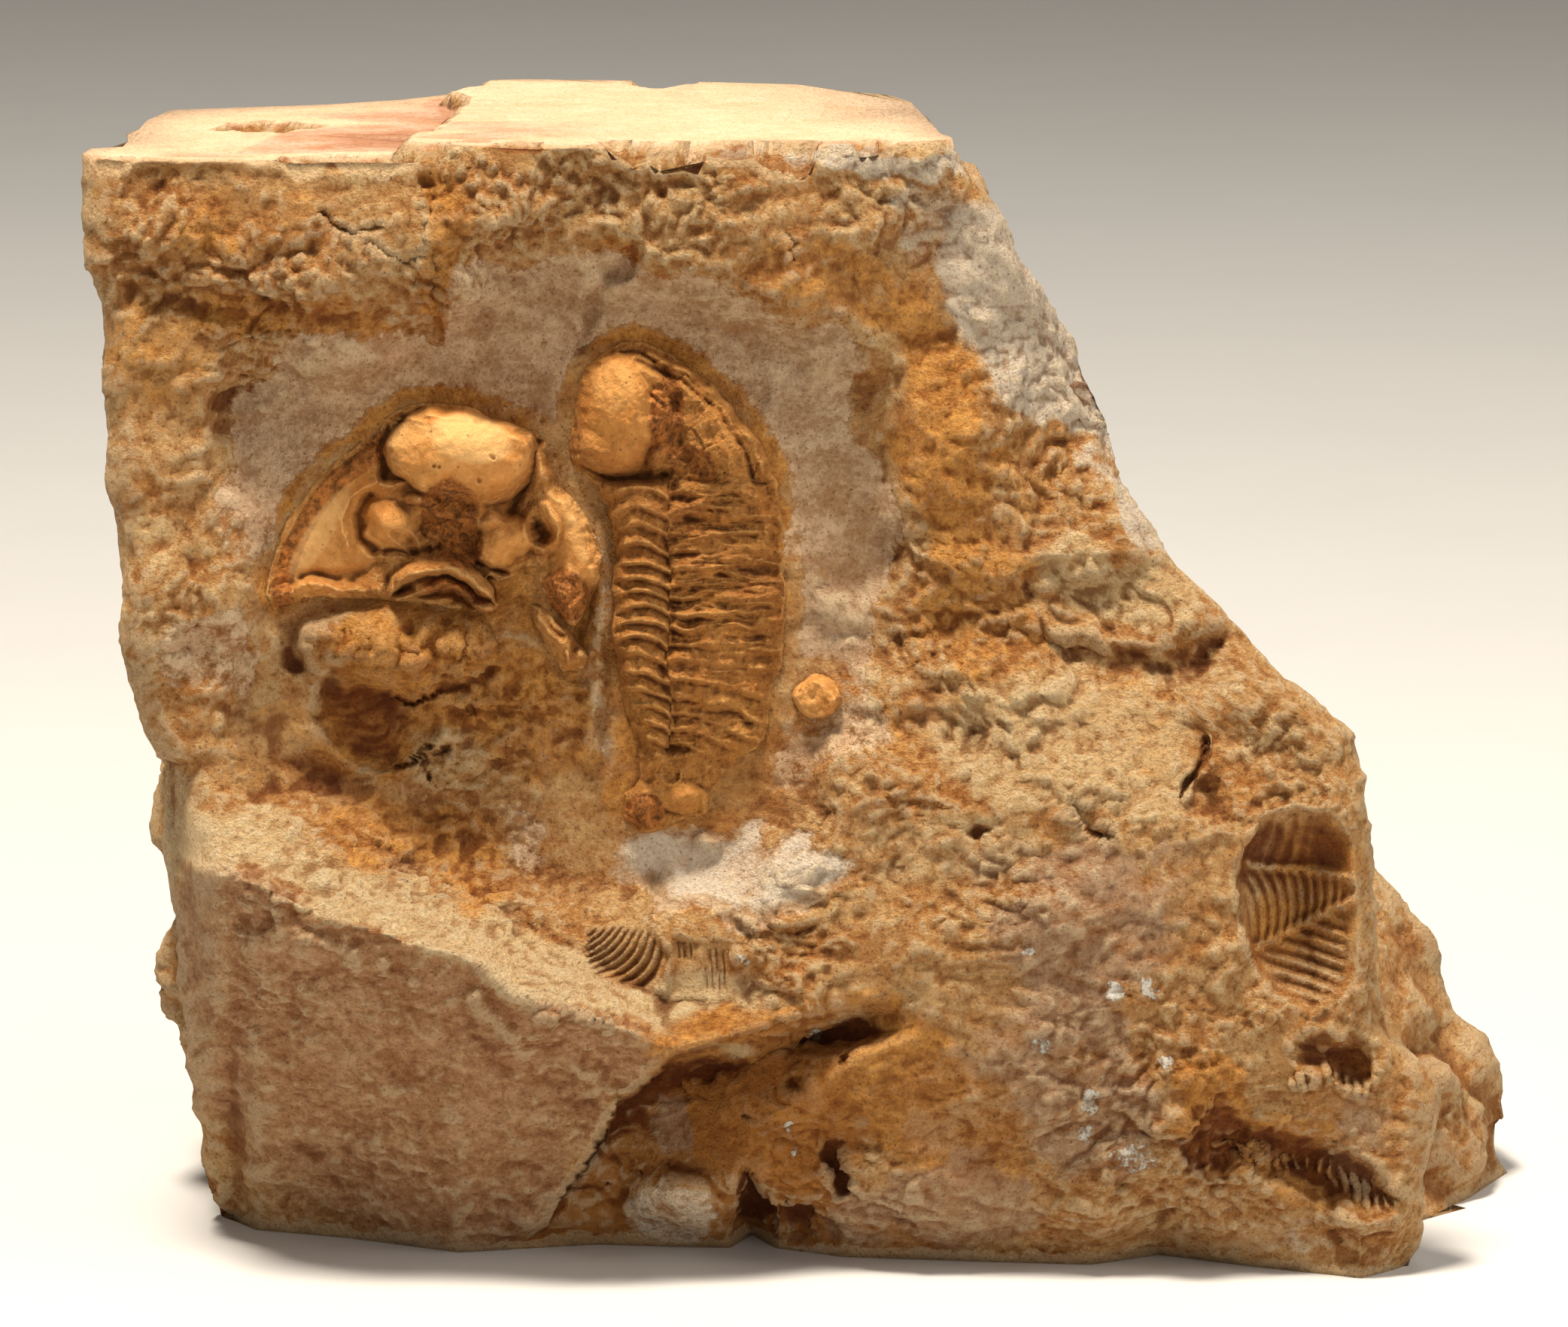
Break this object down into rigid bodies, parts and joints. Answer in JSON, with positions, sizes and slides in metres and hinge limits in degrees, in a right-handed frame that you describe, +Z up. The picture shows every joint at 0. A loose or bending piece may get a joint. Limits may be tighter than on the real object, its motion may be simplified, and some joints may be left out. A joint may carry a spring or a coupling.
{
  "type": "trilobite fossil in limestone matrix",
  "caption": "Broken limestone block with a sawn flat top that stands upright, with a whole trilobite, a trilobite head and smaller remains in a cleared hollow on its front.",
  "frame": {"origin": "centre of the bounding box in plan, on the surface that the block stands on", "axes": "+X to the right as seen from the fossil side, +Y from the fossil side to the back, +Z up"},
  "size_m": [0.131, 0.069, 0.1027],
  "materials": {
    "limestone": "rough broken ochre limestone, pale in the cleared hollow",
    "trilobite_shell": "brown ochre fossil shell, matt with worn pale crests",
    "head_shell": "smooth pale ochre fossil shell with a dark brown rim",
    "spine_shell": "matt ochre fossil shell",
    "shell_plate": "matt ochre shell with a dark crack round it"
  },
  "bodies": {
    "root": {"limestone_matrix": "limestone", "centre_trilobite": "trilobite_shell", "left_trilobite_head": "head_shell", "cheek_fragment": "spine_shell", "small_shell": "shell_plate"}
  },
  "joints": []
}
